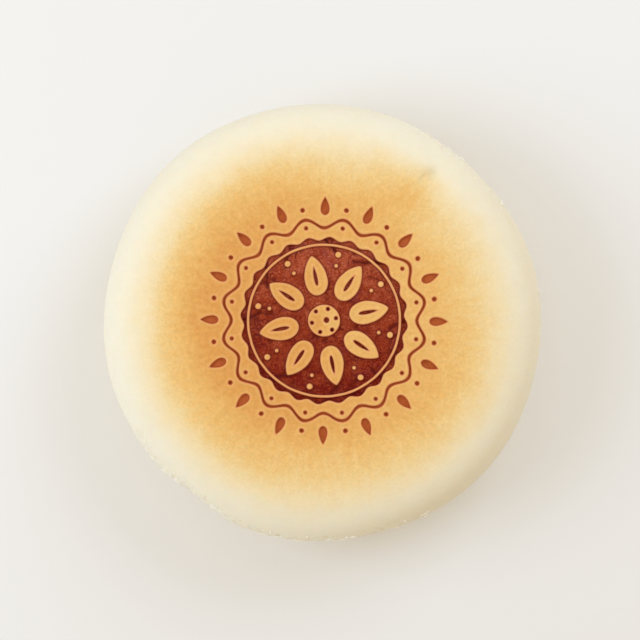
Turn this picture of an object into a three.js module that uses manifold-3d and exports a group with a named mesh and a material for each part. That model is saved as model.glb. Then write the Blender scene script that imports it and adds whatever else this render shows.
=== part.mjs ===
// A whole round souffle cheesecake of the light, wobbly kind, standing on its flat base.
// It is one solid: a low drum with a gently crowned top, a wide soft shoulder and a side that
// draws in a little towards the base. A hot iron has pressed a flower seal, a wavy ring and a
// wreath of drops into the top, about a millimetre deep. Seeds and dots under 2 mm across are
// left out of the pressed mark.
// Millimetres, +Z up, origin in the middle of the base.
import * as THREE from "three";
import { mergeVertices } from "three/addons/utils/BufferGeometryUtils.js";
import Module from "manifold-3d";

const wasm = await Module();
wasm.setup();

// The cake's driving sizes
const RADIUS = 90.7; // at the widest, a little above half height
const HEIGHT = 58; // base to the middle of the crown
const CROWN_DROP = 3; // fall of the crown from the middle to the rim
const SHOULDER_WIDTH = 0.29 * RADIUS; // plan width over which the top rolls into the side
const SHOULDER_DROP = 0.4 * HEIGHT;
const SHOULDER_POWER = 2.2; // 2 is an ellipse, more is squarer
const BASE_RADIUS = RADIUS - 2.2;
const WAIST_DEPTH = 1.0; // how far the side shrinks in between the base and the widest height
const BASE_ROUND = 2.2; // rounding of the lower edge

// Unevenness of a real bake: waves round the outline, a lean of the top, and one shallow dent
const OUTLINE_WAVES = [
  { lobes: 2, size: 0.5, turn: 1.5 },
  { lobes: 3, size: 0.4, turn: 0.4 },
  { lobes: 5, size: 0.1, turn: 3.0 },
  { lobes: 6, size: 0.4, turn: 4.75 },
];
const TOP_WAVES = [
  { lobes: 1, size: 0.5, turn: 2.6 },
  { lobes: 2, size: 0.4, turn: 0.9 },
  { lobes: 4, size: 0.3, turn: 3.3 },
];
const DENT = { turn: THREE.MathUtils.degToRad(53), reach: 0.84 * RADIUS, radius: 9, depth: 1.3 };
const PRESS_DEPTH = 0.7; // shallow dish that the iron leaves under the whole mark
const PRESS_RADIUS = 56;

// Steps of the turned form
const AROUND = 64;
const CROWN_STEPS = 3;
const SHOULDER_STEPS = 6;
const SIDE_STEPS = 5;
const ROUND_STEPS = 2;

// The mark's sizes
const MARK_CENTRE = new THREE.Vector2(0.6, 0.8);
const MARK_TURN = THREE.MathUtils.degToRad(11);
const MARK_DEPTH = 1.1;
const SEAL_RADIUS = 33;
const SEAL_SCALLOP = 0.75;
const SEAL_LOBES = 24;
const LINE_OUTER = 31.0; // the thin line left standing inside the seal's rim
const LINE_INNER = 30.1;
const PETALS = 8;
const PETAL = { reach: 17.4, length: 16, width: 9.2, point: 0.55 };
const VEIN = { reach: 17.2, length: 8, width: 1.5, point: 0.8 };
const BEAD = { reach: 26.2, radius: 1.35 };
const HEART_RADIUS = 6.4;
const HEART_SEED_RADIUS = 1.15;
const WAVES = 16;
const WAVE = { reach: 39.2, swing: 1.9, stroke: 1.3 };
const DROP = { reach: 45.2, length: 7.4, width: 3.5, point: 1 };

const CRUST_LOOK = new THREE.MeshStandardMaterial({ color: 0xefc98a, roughness: 0.72, metalness: 0 });

/** Sum of cosine waves at an angle. */
function waveSum(waves, angle) {
  return waves.reduce((sum, w) => sum + w.size * Math.cos(w.lobes * angle + w.turn), 0);
}

/** Height of the even top at a plan radius, from the middle out to the widest radius. */
function topHeight(reach) {
  const share = Math.max(0, (reach - (RADIUS - SHOULDER_WIDTH)) / SHOULDER_WIDTH);
  const roll = 1 - Math.pow(1 - Math.pow(Math.min(1, share), SHOULDER_POWER), 1 / SHOULDER_POWER);
  return HEIGHT - CROWN_DROP * (reach / RADIUS) ** 2 - SHOULDER_DROP * roll;
}

/** Radius of the even side at a height between the base and the widest height. */
function sideRadius(height, widestHeight) {
  const fall = 1 - height / widestHeight;
  const taper = (RADIUS - BASE_RADIUS) * fall ** 2;
  return RADIUS - taper - WAIST_DEPTH * Math.sin(Math.PI * fall) ** 2;
}

/** Half section of the even cake, from the middle of the base out, up and in to the crown. */
function halfSection() {
  const widestHeight = topHeight(RADIUS);
  const points = [new THREE.Vector2(0, 0)];
  for (let i = 0; i < ROUND_STEPS; i++) {
    const a = (i / ROUND_STEPS) * (Math.PI / 2);
    const reach = BASE_RADIUS - BASE_ROUND + BASE_ROUND * Math.sin(a);
    points.push(new THREE.Vector2(reach, BASE_ROUND * (1 - Math.cos(a))));
  }
  for (let i = 0; i < SIDE_STEPS; i++) {
    const height = BASE_ROUND + ((widestHeight - BASE_ROUND) * i) / SIDE_STEPS;
    points.push(new THREE.Vector2(sideRadius(height, widestHeight), height));
  }
  for (let i = 0; i < SHOULDER_STEPS; i++) {
    const a = (i / SHOULDER_STEPS) * (Math.PI / 2);
    const reach = RADIUS - SHOULDER_WIDTH * (1 - Math.cos(a));
    points.push(new THREE.Vector2(reach, topHeight(reach)));
  }
  for (let i = CROWN_STEPS; i >= 0; i--) {
    const reach = ((RADIUS - SHOULDER_WIDTH) * i) / CROWN_STEPS;
    points.push(new THREE.Vector2(reach, topHeight(reach)));
  }
  return points;
}

/** Moves a point of the even form to where the uneven bake has it. The base stays flat. */
function settle(x, y, z) {
  const angle = Math.atan2(y, x);
  const reach = Math.hypot(x, y);
  const share = reach / RADIUS;
  const swell = 1 + (waveSum(OUTLINE_WAVES, angle) / RADIUS) * share;
  const dentGap = Math.hypot(x - DENT.reach * Math.cos(DENT.turn), y - DENT.reach * Math.sin(DENT.turn));
  const dent = DENT.depth * Math.exp(-((dentGap / DENT.radius) ** 2));
  const press = PRESS_DEPTH * Math.exp(-((reach / PRESS_RADIUS) ** 6));
  const rise = waveSum(TOP_WAVES, angle) * share ** 2 - dent - press;
  return [x * swell, y * swell, z + rise * (z / HEIGHT) ** 2];
}

/** The uneven cake before the iron, centred on the middle of its own plan box. */
function bakedGeometry() {
  const turned = new THREE.LatheGeometry(halfSection(), AROUND).rotateX(Math.PI / 2);
  const places = turned.getAttribute("position");
  for (let i = 0; i < places.count; i++) {
    places.setXYZ(i, ...settle(places.getX(i), places.getY(i), places.getZ(i)));
  }
  turned.computeBoundingBox();
  const middle = turned.boundingBox.getCenter(new THREE.Vector3());
  return turned.translate(-middle.x, -middle.y, 0);
}

/** A closed three.js geometry as a manifold solid. */
function solidFrom(geometry) {
  const bare = geometry.clone();
  bare.deleteAttribute("normal");
  bare.deleteAttribute("uv");
  const merged = mergeVertices(bare, 1e-4);
  const vertProperties = new Float32Array(merged.getAttribute("position").array);
  const triVerts = new Uint32Array(merged.index.array).filter((_, i, all) => {
    const [a, b, c] = all.slice(i - (i % 3), i - (i % 3) + 3);
    return a !== b && b !== c && c !== a;
  });
  return new wasm.Manifold(new wasm.Mesh({ numProp: 3, vertProperties, triVerts }));
}

/** A manifold solid as a three.js geometry. */
function geometryFrom(solid) {
  const { numProp, vertProperties, triVerts } = solid.getMesh();
  const places = new Float32Array((vertProperties.length / numProp) * 3);
  for (let i = 0; i < places.length / 3; i++) {
    places.set(vertProperties.subarray(i * numProp, i * numProp + 3), i * 3);
  }
  const geometry = new THREE.BufferGeometry();
  geometry.setAttribute("position", new THREE.BufferAttribute(places, 3));
  geometry.setIndex(new THREE.BufferAttribute(new Uint32Array(triVerts), 1));
  geometry.computeVertexNormals();
  return geometry;
}

/** A closed line round the mark's middle, whose radius is a function of the angle. */
function ringLine(count, radiusAt) {
  return Array.from({ length: count }, (_, i) => {
    const angle = (i / count) * 2 * Math.PI;
    const radius = radiusAt(angle);
    return new THREE.Vector2(radius * Math.cos(angle), radius * Math.sin(angle));
  });
}

/** A drop along +X round its own middle. A higher point value draws the outer end sharper. */
function dropLine({ length, width, point }, count) {
  const fullest = 2 * Math.atan(Math.sqrt(1 + point));
  const most = Math.sin(fullest) * Math.sin(fullest / 2) ** point;
  return Array.from({ length: count }, (_, i) => {
    const u = (i / count) * 2 * Math.PI;
    const half = (Math.sin(u) * Math.abs(Math.sin(u / 2)) ** point) / most;
    return new THREE.Vector2((length / 2) * Math.cos(u), (width / 2) * half);
  });
}

/** Copies of one line, set out round the mark's middle at a reach, the first at an angle. */
function setRound(line, copies, reach, first) {
  return Array.from({ length: copies }, (_, i) => {
    const angle = first + (i / copies) * 2 * Math.PI;
    return line.map((p) => new THREE.Vector2(p.x + reach, p.y).rotateAround(new THREE.Vector2(), angle));
  });
}

/** Upright prism over a closed line of the mark, placed on the cake. */
function prism(line) {
  const placed = line.map((p) => p.clone().rotateAround(new THREE.Vector2(), MARK_TURN).add(MARK_CENTRE));
  const geometry = new THREE.ExtrudeGeometry(new THREE.Shape(placed), { depth: HEIGHT, bevelEnabled: false });
  return solidFrom(geometry.translate(0, 0, HEIGHT / 2));
}

/** Prisms over several lines that don't touch, as one solid. */
function prisms(lines) {
  return lines.map(prism).reduce((all, one) => all.add(one));
}

/** The flower seal: a scalloped disc, less a thin line, petals, beads and the flower's heart. */
function sealPrism() {
  const rim = ringLine(SEAL_LOBES * 4, (a) => SEAL_RADIUS + SEAL_SCALLOP * Math.cos(SEAL_LOBES * a));
  const standing = [
    ...setRound(dropLine(PETAL, 16), PETALS, PETAL.reach, 0),
    ...setRound(ringLine(8, () => BEAD.radius), PETALS, BEAD.reach, Math.PI / PETALS),
  ];
  const burntInside = [
    ...setRound(dropLine(VEIN, 8), PETALS, VEIN.reach, 0),
    ringLine(8, () => HEART_SEED_RADIUS),
  ];
  return prism(rim)
    .subtract(prism(ringLine(48, () => LINE_OUTER)))
    .add(prism(ringLine(48, () => LINE_INNER)))
    .subtract(prisms(standing))
    .subtract(prism(ringLine(24, () => HEART_RADIUS)))
    .add(prisms(burntInside));
}

/** The wavy ring, with a wreath of drops that stand in its outer hollows. */
function wreathPrism() {
  const wave = (side) => (a) => WAVE.reach + WAVE.swing * Math.cos(WAVES * a) + (side * WAVE.stroke) / 2;
  return prism(ringLine(WAVES * 6, wave(1)))
    .subtract(prism(ringLine(WAVES * 6, wave(-1))))
    .add(prisms(setRound(dropLine(DROP, 9), WAVES, DROP.reach, Math.PI / WAVES)));
}

/** The cake with the mark pressed in to an even depth under the crown. */
function markedCake() {
  const baked = solidFrom(bakedGeometry());
  const mark = sealPrism().add(wreathPrism());
  return baked.subtract(mark.subtract(baked.translate([0, 0, -MARK_DEPTH])));
}

const cheesecake = new THREE.Group();
const cake = new THREE.Mesh(geometryFrom(markedCake()), CRUST_LOOK);
cake.name = "cake";
cheesecake.add(cake);

export default cheesecake;
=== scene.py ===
"""Looks of a whole round souffle cheesecake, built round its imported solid.

The skin is one closed mesh in the place of the solid. It is turned from the same half section, and
Geometry Nodes make it uneven with the same waves, press the iron's mark into the crown and lay
crumbs on the rim. Sizes are in millimetres and colours in sRGB until they reach Blender, which
takes metres and linear light. Azimuth 0 is +X and 90 degrees is +Y, the top of the picture.
"""

import logging
import math
from collections.abc import Mapping, Sequence
from dataclasses import dataclass
from enum import StrEnum

import bpy
import numpy as np
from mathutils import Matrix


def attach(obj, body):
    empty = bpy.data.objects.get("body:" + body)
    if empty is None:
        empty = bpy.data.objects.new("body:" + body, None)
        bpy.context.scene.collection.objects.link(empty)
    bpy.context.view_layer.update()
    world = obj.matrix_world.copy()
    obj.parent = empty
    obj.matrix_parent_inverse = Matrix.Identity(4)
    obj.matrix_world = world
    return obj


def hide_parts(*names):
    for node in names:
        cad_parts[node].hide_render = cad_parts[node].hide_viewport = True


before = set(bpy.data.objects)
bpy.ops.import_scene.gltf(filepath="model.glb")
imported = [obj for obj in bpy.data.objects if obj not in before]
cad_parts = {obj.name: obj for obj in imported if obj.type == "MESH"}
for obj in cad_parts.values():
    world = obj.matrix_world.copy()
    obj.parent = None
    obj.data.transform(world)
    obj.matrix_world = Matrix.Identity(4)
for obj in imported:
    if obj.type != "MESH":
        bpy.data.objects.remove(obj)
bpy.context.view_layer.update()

LOG = logging.getLogger("cheesecake")
MM = 0.001
BODY = "root"
CAKE_NODE = "cake"
CROWN_LIGHT = 1.08  # brightness of white on the crown, which the finishes allow for
FAR_GAP = 50.0  # gap in millimetres that the side and the base carry, where there is no mark


class SkinField(StrEnum):
    """Numbers that the skin carries at each point, in millimetres."""

    MARK_GAP = "mark_gap"  # to the nearest outline of the mark, negative where the iron burnt
    CRACK_GAP = "crack_gap"  # to the nearest crack of the burnt skin


class Fade(StrEnum):
    """How a value runs from one end of a range to the other."""

    EVEN = "LINEAR"
    SOFT = "SMOOTHSTEP"


@dataclass(frozen=True)
class Grain:
    """One layer of cloudy noise. Its size is in millimetres."""

    size: float
    detail: float
    strength: float = 1.0
    twist: float = 0.0
    roughness: float = 0.5


@dataclass(frozen=True)
class Spots:
    """Spots where a noise is high, and the levels between which a spot sets in."""

    grain: Grain
    start: float
    end: float


@dataclass(frozen=True)
class Run:
    """A range of a value, and the range that it is run into."""

    start: float
    end: float
    low: float = 0.0
    high: float = 1.0
    kind: Fade = Fade.SOFT


@dataclass(frozen=True)
class Bump:
    """How high a bump of level 1 stands, in millimetres, and how strongly it shows."""

    height: float
    strength: float


@dataclass(frozen=True)
class Folds:
    """Upright folds: so many units across the radius, and a height in millimetres."""

    around: float
    height: float


class Wire:
    """An output of a node tree. A sum that is written with it becomes Math nodes."""

    def __init__(self, sheet: "Sheet", socket: bpy.types.NodeSocket) -> None:
        """Keeps the socket and the sheet that it is on."""
        self.sheet = sheet
        self.socket = socket

    def __add__(self, other: "Wire | float") -> "Wire":
        """This plus other."""
        return self.sheet.math("ADD", self, other)

    def __sub__(self, other: "Wire | float") -> "Wire":
        """This less other."""
        return self.sheet.math("SUBTRACT", self, other)

    def __rsub__(self, other: float) -> "Wire":
        """Other less this."""
        return self.sheet.math("SUBTRACT", other, self)

    def __mul__(self, other: "Wire | float") -> "Wire":
        """This times other."""
        return self.sheet.math("MULTIPLY", self, other)

    def __truediv__(self, other: "Wire | float") -> "Wire":
        """This over other."""
        return self.sheet.math("DIVIDE", self, other)

    def __pow__(self, power: float) -> "Wire":
        """This to a power."""
        return self.sheet.math("POWER", self, power)

    def __neg__(self) -> "Wire":
        """This with its sign turned."""
        return self.sheet.math("MULTIPLY", self, -1.0)

    __radd__ = __add__
    __rmul__ = __mul__


Value = Wire | float | int | bool | str | tuple | bpy.types.Material


class Sheet:
    """A node tree being drawn, for a material or for Geometry Nodes."""

    def __init__(self, tree: bpy.types.NodeTree) -> None:
        """Keeps the tree."""
        self.tree = tree

    def node(self, kind: str, feeds: Mapping[str, Value] | None = None, **settings: object) -> bpy.types.Node:
        """Adds a node.

        Args:
            kind: Blender's name of the node type.
            feeds: values or wires by the name or identifier of the input that they go into.
            **settings: the node's own settings, set before its inputs are looked up.

        Returns:
            The new node.
        """
        made = self.tree.nodes.new(kind)
        for name, value in settings.items():
            setattr(made, name, value)
        for key, value in (feeds or {}).items():
            self.feed(next(s for s in made.inputs if key in (s.identifier, s.name)), value)
        return made

    def feed(self, socket: bpy.types.NodeSocket, value: Value) -> None:
        """Links a wire into an input, or writes a plain value on it.

        Args:
            socket: the input.
            value: what goes in.
        """
        if isinstance(value, Wire):
            self.tree.links.new(value.socket, socket)
        else:
            socket.default_value = value

    def out(self, made: bpy.types.Node, name: str) -> Wire:
        """Output of a node by its name or identifier."""
        return Wire(self, next(s for s in made.outputs if name in (s.identifier, s.name) and s.enabled))

    def math(self, operation: str, *values: Wire | float) -> Wire:
        """Result of a Math node on one to three numbers.

        Args:
            operation: Blender's name of the operation.
            *values: the numbers.

        Returns:
            The result.
        """
        made = self.tree.nodes.new("ShaderNodeMath")
        made.operation = operation
        for socket, value in zip(made.inputs, values):
            self.feed(socket, value)
        return self.out(made, "Value")

    def split(self, vector: Wire) -> tuple[Wire, Wire, Wire]:
        """The three numbers of a vector."""
        made = self.node("ShaderNodeSeparateXYZ", {"Vector": vector})
        return self.out(made, "X"), self.out(made, "Y"), self.out(made, "Z")

    def joined(self, x: Wire | float, y: Wire | float, z: Wire | float) -> Wire:
        """A vector of three numbers."""
        return self.out(self.node("ShaderNodeCombineXYZ", {"X": x, "Y": y, "Z": z}), "Vector")

    def scaled(self, vector: Wire, scale: Wire | float) -> Wire:
        """A vector times a number."""
        made = self.node("ShaderNodeVectorMath", {"Vector": vector, "Scale": scale}, operation="SCALE")
        return self.out(made, "Vector")

    def moved(self, vector: Wire, shift: Wire | tuple[float, float, float]) -> Wire:
        """A vector plus another."""
        made = self.node("ShaderNodeVectorMath", {"Vector": vector, "Vector_001": shift}, operation="ADD")
        return self.out(made, "Vector")

    def fade(self, value: Wire, start: float, end: float, low: float = 0.0, high: float = 1.0,
             kind: Fade = Fade.SOFT) -> Wire:
        """A value run from one range into another and held at its ends.

        Args:
            value: what is followed.
            start: value that gives low.
            end: value that gives high.
            low: result at the start.
            high: result at the end.
            kind: soft or even run between them.

        Returns:
            The result, from low to high.
        """
        feeds = {"Value": value, "From Min": start, "From Max": end, "To Min": low, "To Max": high}
        return self.out(self.node("ShaderNodeMapRange", feeds, interpolation_type=kind.value), "Result")

    def span(self, value: Wire, rise: tuple[float, float], fall: tuple[float, float]) -> Wire:
        """A share that rises over one range of millimetres and falls back over another."""
        rising = self.fade(value, rise[0] * MM, rise[1] * MM)
        return rising * self.fade(value, fall[0] * MM, fall[1] * MM)

    def bell(self, value: Wire, width: float) -> Wire:
        """A bell of height 1 where a value is 0, falling away over a width."""
        return self.math("EXPONENT", -((value / width) ** 2))

    def spot(self, x: Wire, y: Wire, centre: tuple[float, float], width: float) -> Wire:
        """A round bell of height 1 about a point of the plan."""
        apart = (x - centre[0]) ** 2 + (y - centre[1]) ** 2
        return self.math("EXPONENT", -(apart / width**2))

    def noise(self, vector: Wire, grain: float, detail: float = 2.0, distortion: float = 0.0,
              roughness: float = 0.5) -> Wire:
        """Cloudy noise from about -0.5 to 0.5, with grains of a size in the vector's unit.

        Args:
            vector: where it is read.
            grain: size of the grains.
            detail: how many finer layers it has.
            distortion: how far it is twisted.
            roughness: share that each finer layer keeps.

        Returns:
            The noise.
        """
        feeds = {"Vector": vector, "Scale": 1.0 / grain, "Detail": detail, "Roughness": roughness,
                 "Distortion": distortion}
        return self.out(self.node("ShaderNodeTexNoise", feeds), "Fac") - 0.5

    def grained(self, place: Wire, *grains: Grain) -> Wire:
        """Layers of noise at a place, added up."""
        layers = [self.noise(place, g.size * MM, g.detail, g.twist, g.roughness) * g.strength for g in grains]
        return sum(layers[1:], layers[0])

    def spots(self, place: Wire, spots: Spots) -> Wire:
        """How far a place lies inside a spot, from 0 to 1."""
        return self.fade(self.grained(place, spots.grain), spots.start, spots.end)

    def run(self, value: Wire, run: Run, unit: float = 1.0) -> Wire:
        """A value run from one range into another. The first range is in a unit."""
        return self.fade(value, run.start * unit, run.end * unit, run.low, run.high, run.kind)


def linear(colour: Sequence[float], lit: float = 1.0) -> tuple[float, float, float, float]:
    """Linear light of an sRGB colour.

    Args:
        colour: red, green and blue from 0 to 255.
        lit: how bright the light on it is. The result is what looks like the colour there.

    Returns:
        Red, green, blue and a full alpha, as Blender's sockets take them.
    """
    shares = [c / 255 for c in colour]
    light = [c / 12.92 if c <= 0.04045 else ((c + 0.055) / 1.055) ** 2.4 for c in shares]
    return (*(c / lit for c in light), 1.0)


def seen(colour: Sequence[float]) -> tuple[float, float, float, float]:
    """What looks like an sRGB colour where the studio lights the crown."""
    return linear(colour, CROWN_LIGHT)


def polar(reach: float, azimuth: float) -> tuple[float, float]:
    """Point of the plan at a reach and an azimuth in degrees."""
    angle = math.radians(azimuth)
    return reach * math.cos(angle), reach * math.sin(angle)


@dataclass(frozen=True)
class Wave:
    """One wave round the cake."""

    lobes: int
    size: float
    turn: float


@dataclass(frozen=True)
class Ring:
    """One level ring of the even form."""

    reach: float
    height: float
    count: int


@dataclass(frozen=True)
class Dent:
    """A shallow hollow where the edge of the crown sank."""

    azimuth: float = 53.0
    reach_share: float = 0.84
    width: float = 9.0
    depth: float = 1.3


@dataclass(frozen=True)
class CakeForm:
    """The baked form: a crowned drum with a wide soft shoulder, and its unevenness."""

    radius: float = 90.7
    height: float = 58.0
    crown_drop: float = 3.0
    shoulder_share: float = 0.29
    shoulder_drop_share: float = 0.4
    shoulder_power: float = 2.2
    base_radius: float = 88.5
    waist_depth: float = 1.0
    base_round: float = 2.2
    outline_waves: tuple[Wave, ...] = (
        Wave(2, 0.5, 1.5), Wave(3, 0.4, 0.4), Wave(5, 0.1, 3.0), Wave(6, 0.4, 4.75))
    top_waves: tuple[Wave, ...] = (Wave(1, 0.5, 2.6), Wave(2, 0.4, 0.9), Wave(4, 0.3, 3.3))
    dent: Dent = Dent()
    press_depth: float = 0.7
    press_radius: float = 56.0
    fine_reach: float = 51.5
    fine_step: float = 0.45
    step_growth: float = 1.08
    around: int = 600
    shoulder_steps: int = 40
    side_steps: int = 24
    round_steps: int = 5
    base_rings: int = 12

    @property
    def shoulder_width(self) -> float:
        """Plan width over which the top rolls into the side."""
        return self.shoulder_share * self.radius

    def top_height(self, reach: float) -> float:
        """Height of the even top at a plan radius, from the middle out to the widest radius.

        Args:
            reach: the plan radius.

        Returns:
            The height.
        """
        share = max(0.0, (reach - self.radius + self.shoulder_width) / self.shoulder_width)
        power = self.shoulder_power
        roll = 1 - (1 - min(1.0, share) ** power) ** (1 / power)
        crown = self.height - self.crown_drop * (reach / self.radius) ** 2
        return crown - self.shoulder_drop_share * self.height * roll

    def side_radius(self, height: float) -> float:
        """Radius of the even side at a height between the base and the widest height.

        Args:
            height: the height.

        Returns:
            The radius.
        """
        fall = 1 - height / self.top_height(self.radius)
        taper = (self.radius - self.base_radius) * fall**2
        return self.radius - taper - self.waist_depth * math.sin(math.pi * fall) ** 2

    def rings(self) -> list[Ring]:
        """Rings of the even form, from the crown out and down to near the middle of the base.

        Returns:
            The rings in order. The mark's part of the crown has the closest ones.
        """
        fine = round(self.fine_reach / self.fine_step)
        reaches = [k * self.fine_step for k in range(1, fine + 1)]
        made = [Ring(reach, self.top_height(reach), 6 * k) for k, reach in enumerate(reaches, 1)]
        inner = self.radius - self.shoulder_width
        reach, step = made[-1].reach, self.fine_step
        while reach + step < inner:
            step *= self.step_growth
            reach += step
            made.append(Ring(reach, self.top_height(reach), max(self.around, round(6 * reach / step))))
        for i in range(1, self.shoulder_steps + 1):
            angle = (1 - i / self.shoulder_steps) * math.pi / 2
            reach = self.radius - self.shoulder_width * (1 - math.cos(angle))
            if reach > made[-1].reach + self.fine_step:
                made.append(Ring(reach, self.top_height(reach), self.around))
        widest = self.top_height(self.radius)
        for i in range(1, self.side_steps + 1):
            height = widest + (self.base_round - widest) * i / self.side_steps
            made.append(Ring(self.side_radius(height), height, self.around))
        for i in range(1, self.round_steps + 1):
            angle = (1 - i / self.round_steps) * math.pi / 2
            reach = self.base_radius - self.base_round * (1 - math.sin(angle))
            made.append(Ring(reach, self.base_round * (1 - math.cos(angle)), self.around))
        flat = made[-1].reach
        for i in range(1, self.base_rings):
            share = 1 - i / self.base_rings
            made.append(Ring(flat * share, 0.0, max(12, round(self.around * share**2))))
        return made

    def mesh(self, name: str) -> bpy.types.Mesh:
        """The even form as one closed mesh in metres.

        Args:
            name: what the mesh is called.

        Returns:
            The mesh, its triangles pointing outwards.
        """
        rings = self.rings()
        points = [(0.0, 0.0, self.height)]
        starts = []
        for ring in rings:
            starts.append(len(points))
            angles = np.arange(ring.count) * 2 * math.pi / ring.count
            points += [(ring.reach * math.cos(a), ring.reach * math.sin(a), ring.height) for a in angles]
        points.append((0.0, 0.0, 0.0))
        faces = [(0, 1 + i, 1 + (i + 1) % rings[0].count) for i in range(rings[0].count)]
        for k in range(len(rings) - 1):
            faces += stitched(starts[k], rings[k].count, starts[k + 1], rings[k + 1].count)
        last, count = starts[-1], rings[-1].count
        faces += [(len(points) - 1, last + (i + 1) % count, last + i) for i in range(count)]
        made = bpy.data.meshes.new(name)
        made.from_pydata(np.array(points) * MM, [], faces)
        made.validate()
        return made


def stitched(inner: int, inner_count: int, outer: int, outer_count: int) -> list[tuple[int, int, int]]:
    """Triangles between two rings whose points may differ in number.

    Args:
        inner: first point of the ring nearer the crown.
        inner_count: how many points it has.
        outer: first point of the next ring.
        outer_count: how many points that one has.

    Returns:
        Triangles whose faces point outwards.
    """
    faces = []
    i = j = 0
    while i < inner_count or j < outer_count:
        here, there = inner + i % inner_count, outer + j % outer_count
        if (j + 1) * inner_count <= (i + 1) * outer_count:
            faces.append((here, there, outer + (j + 1) % outer_count))
            j += 1
        else:
            faces.append((here, there, inner + (i + 1) % inner_count))
            i += 1
    return faces


@dataclass(frozen=True)
class Drop:
    """A drop-shaped motif, whose sharp end points away from the mark's middle."""

    reach: float
    length: float
    width: float
    point: float


@dataclass(frozen=True)
class Dots:
    """A round of small discs, with the first at a share of their spacing."""

    reach: float
    radius: float
    copies: int
    offset: float


@dataclass(frozen=True)
class IronMark:
    """The mark of the hot iron: a flower seal, a wavy ring, and a wreath of drops and dots."""

    centre: tuple[float, float] = (0.6, 0.8)
    turn: float = math.radians(11)
    seal_radius: float = 33.0
    scallop: float = 0.75
    scallops: int = 24
    line_outer: float = 31.0
    line_inner: float = 30.1
    heart_radius: float = 6.4
    petals: int = 8
    petal: Drop = Drop(17.4, 16.0, 9.2, 0.55)
    vein: Drop = Drop(17.2, 8.0, 1.5, 0.8)
    waves: int = 16
    wave_reach: float = 39.2
    wave_swing: float = 1.9
    wave_stroke: float = 1.3
    wreath: Drop = Drop(45.2, 7.4, 3.5, 1.0)
    dots: tuple[Dots, ...] = (
        Dots(26.2, 1.2, 8, 0.5),
        Dots(21.6, 0.75, 8, 0.5),
        Dots(0.0, 1.15, 1, 0.0),
        Dots(3.9, 0.85, 6, 0.0),
        Dots(36.8, 0.85, 16, 0.0),
        Dots(44.2, 0.95, 16, 0.0),
    )

    def ring_line(self, sheet: Sheet, radius: float, points: int, swing: float = 0.0, waves: int = 0) -> Wire:
        """A closed line round the middle, whose radius may swing in waves.

        Args:
            sheet: tree that the line is drawn in.
            radius: mean radius.
            points: how many points the line has.
            swing: how far the radius swings to each side.
            waves: how many waves go round.

        Returns:
            The line as a curve.
        """
        line = circle(sheet, radius, points)
        if not waves:
            return line
        angle = index_angle(sheet, points)
        reach = sheet.math("COSINE", angle * waves) * (swing * MM) + radius * MM
        place = sheet.joined(sheet.math("COSINE", angle) * reach, sheet.math("SINE", angle) * reach, 0.0)
        return placed(sheet, line, place)

    def drop_line(self, sheet: Sheet, drop: Drop, points: int) -> Wire:
        """Outline of one drop on the +X side of the middle, at its reach.

        Args:
            sheet: tree that it is drawn in.
            drop: sizes of the drop.
            points: how many points the line has.

        Returns:
            The line as a curve.
        """
        fullest = 2 * math.atan(math.sqrt(1 + drop.point))
        most = math.sin(fullest) * math.sin(fullest / 2) ** drop.point
        angle = index_angle(sheet, points)
        sharp = sheet.math("ABSOLUTE", sheet.math("SINE", angle * 0.5)) ** drop.point
        along = sheet.math("COSINE", angle) * (drop.length / 2 * MM) + drop.reach * MM
        across = sheet.math("SINE", angle) * sharp * (drop.width / 2 / most * MM)
        return placed(sheet, circle(sheet, 1.0, points), sheet.joined(along, across, 0.0))

    def disc_line(self, sheet: Sheet, dots: Dots, points: int) -> Wire:
        """Outline of one disc on the +X side of the middle, at its reach."""
        return shifted(sheet, circle(sheet, dots.radius, points), (dots.reach * MM, 0.0, 0.0))

    def set_round(self, sheet: Sheet, line: Wire, copies: int, offset: float) -> Wire:
        """Copies of a line set out round the middle.

        Args:
            sheet: tree that they are drawn in.
            line: the first, on the +X side of the middle.
            copies: how many there are in a full turn.
            offset: share of their spacing by which the first is turned.

        Returns:
            The copies as curves.
        """
        spokes = circle(sheet, 1.0, max(3, copies))
        angle = index_angle(sheet, copies) + offset * 2 * math.pi / copies
        turn = sheet.node("FunctionNodeEulerToRotation", {"Euler": sheet.joined(0.0, 0.0, angle)})
        middle = placed(sheet, spokes, (0.0, 0.0, 0.0))
        first = sheet.math("LESS_THAN", index(sheet), float(copies))
        feeds = {"Points": middle, "Selection": first, "Instance": line,
                 "Rotation": sheet.out(turn, "Rotation")}
        copied = sheet.node("GeometryNodeInstanceOnPoints", feeds)
        return realized(sheet, sheet.out(copied, "Instances"))

    def outline(self, sheet: Sheet) -> Wire:
        """Every outline of the mark, nested so that burnt and standing parts alternate.

        Args:
            sheet: tree that they are drawn in.

        Returns:
            The outlines as flat curves, where the mark lies on the cake.
        """
        half = self.wave_stroke / 2
        lines = [
            self.ring_line(sheet, self.seal_radius, 8 * self.scallops, self.scallop, self.scallops),
            self.ring_line(sheet, self.line_outer, 160),
            self.ring_line(sheet, self.line_inner, 160),
            self.ring_line(sheet, self.heart_radius, 64),
            self.ring_line(sheet, self.wave_reach + half, 14 * self.waves, self.wave_swing, self.waves),
            self.ring_line(sheet, self.wave_reach - half, 14 * self.waves, self.wave_swing, self.waves),
            self.set_round(sheet, self.drop_line(sheet, self.petal, 48), self.petals, 0.0),
            self.set_round(sheet, self.drop_line(sheet, self.vein, 24), self.petals, 0.0),
            self.set_round(sheet, self.drop_line(sheet, self.wreath, 28), self.waves, 0.5),
        ]
        lines += [self.set_round(sheet, self.disc_line(sheet, d, 16), d.copies, d.offset) for d in self.dots]
        feeds = {
            "Geometry": together(sheet, lines),
            "Translation": (self.centre[0] * MM, self.centre[1] * MM, 0.0),
            "Rotation": (0.0, 0.0, self.turn),
        }
        return sheet.out(sheet.node("GeometryNodeTransform", feeds), "Geometry")


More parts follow.
